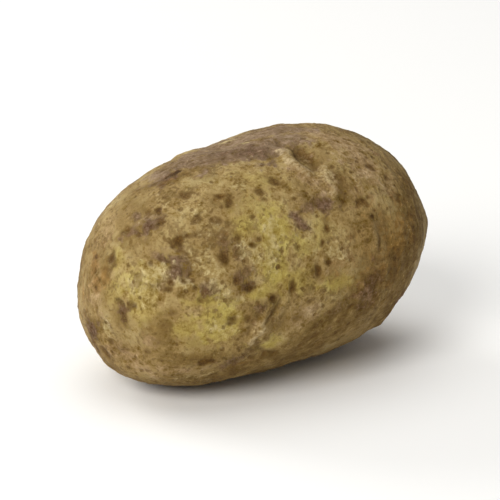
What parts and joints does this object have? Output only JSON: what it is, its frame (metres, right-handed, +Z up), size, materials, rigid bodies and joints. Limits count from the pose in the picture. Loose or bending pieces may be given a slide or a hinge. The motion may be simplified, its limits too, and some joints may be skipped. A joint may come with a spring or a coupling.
{
  "type": "potato",
  "caption": "Medium raw potato tuber, a blunt oval with shallow browed eyes, a stem scar at the thinner end and rough mottled skin, lying on its side.",
  "frame": {"origin": "on the surface that the tuber lies on, under the middle of its outline, level with its flat resting spot", "axes": "+X along the tuber from the stem end to the rose end, +Y across it, +Z up as it lies"},
  "size_m": [0.0946, 0.065, 0.0592],
  "materials": {
    "potato_skin": "matt, rough, mottled khaki and brown cork skin with dried soil"
  },
  "bodies": {
    "root": {"tuber": "potato_skin"}
  },
  "joints": []
}
